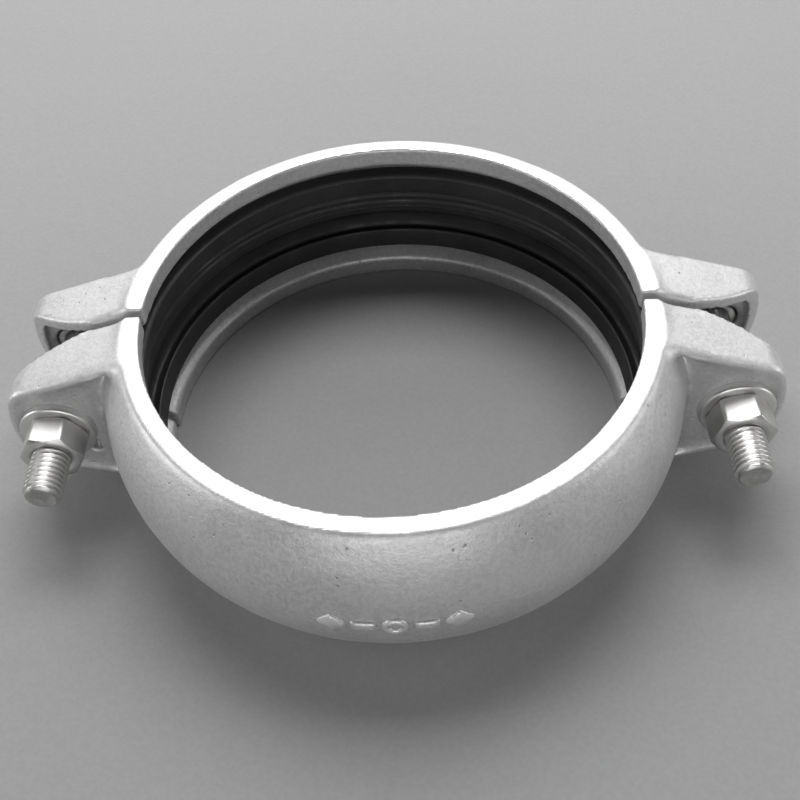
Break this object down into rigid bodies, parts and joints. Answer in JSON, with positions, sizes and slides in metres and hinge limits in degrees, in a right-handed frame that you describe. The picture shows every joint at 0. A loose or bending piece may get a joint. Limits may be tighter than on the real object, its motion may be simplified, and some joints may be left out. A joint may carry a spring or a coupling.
{
  "type": "grooved pipe coupling",
  "caption": "Two-bolt grooved coupling: two cast housing halves hold a rubber gasket and key into the grooves of two pipe ends.",
  "frame": {"origin": "centre of the ring: on the pipe's axis, in the middle plane between the two keys and between the two halves", "axes": "+Z along the pipe, Y along the bolts with the nuts on the -Y side, X from the left bolt to the right bolt"},
  "size_m": [0.2454, 0.1891, 0.059],
  "materials": {
    "cast_steel": "blasted stainless casting, side faces ground",
    "bolt_steel": "bright turned and rolled stainless steel",
    "gasket_rubber": "matte moulded rubber"
  },
  "bodies": {
    "back_half": {"housing_back": "cast_steel", "gasket": "gasket_rubber"},
    "front_half": {"housing_front": "cast_steel"},
    "washer_left": {"washer_left": "bolt_steel"},
    "nut_left": {"nut_left": "bolt_steel"},
    "bolt_left": {"bolt_left": "bolt_steel"},
    "washer_right": {"washer_right": "bolt_steel"},
    "nut_right": {"nut_right": "bolt_steel"},
    "bolt_right": {"bolt_right": "bolt_steel"}
  },
  "joints": [
    {"name": "halves_open", "type": "slide", "parent": "back_half", "child": "front_half", "axis": [0, -1, 0], "range_m": [0, 0.008]},
    {"name": "washer_left_turn", "type": "hinge", "parent": "front_half", "child": "washer_left", "pos_m": [-0.1078, -0.0226, 0], "axis": [0, -1, 0], "range_deg": [0, 1646]},
    {"name": "nut_left_turn", "type": "hinge", "parent": "washer_left", "child": "nut_left", "pos_m": [-0.1078, -0.0288, 0], "axis": [0, -1, 0], "range_deg": [0, 1441]},
    {"name": "bolt_left_back_out", "type": "slide", "parent": "back_half", "child": "bolt_left", "axis": [0, 1, 0], "range_m": [0, 0.007]},
    {"name": "washer_right_turn", "type": "hinge", "parent": "front_half", "child": "washer_right", "pos_m": [0.1078, -0.0226, 0], "axis": [0, -1, 0], "range_deg": [0, 1646]},
    {"name": "nut_right_turn", "type": "hinge", "parent": "washer_right", "child": "nut_right", "pos_m": [0.1078, -0.0288, 0], "axis": [0, -1, 0], "range_deg": [0, 1441]},
    {"name": "bolt_right_back_out", "type": "slide", "parent": "back_half", "child": "bolt_right", "axis": [0, 1, 0], "range_m": [0, 0.007]}
  ],
  "couplings": [
    {"joint": "washer_left_turn", "follows": "halves_open", "rad_per_m": 3590.4},
    {"joint": "nut_left_turn", "follows": "bolt_left_back_out", "rad_per_m": 3590.4},
    {"joint": "washer_right_turn", "follows": "halves_open", "rad_per_m": 3590.4},
    {"joint": "nut_right_turn", "follows": "bolt_right_back_out", "rad_per_m": 3590.4}
  ]
}
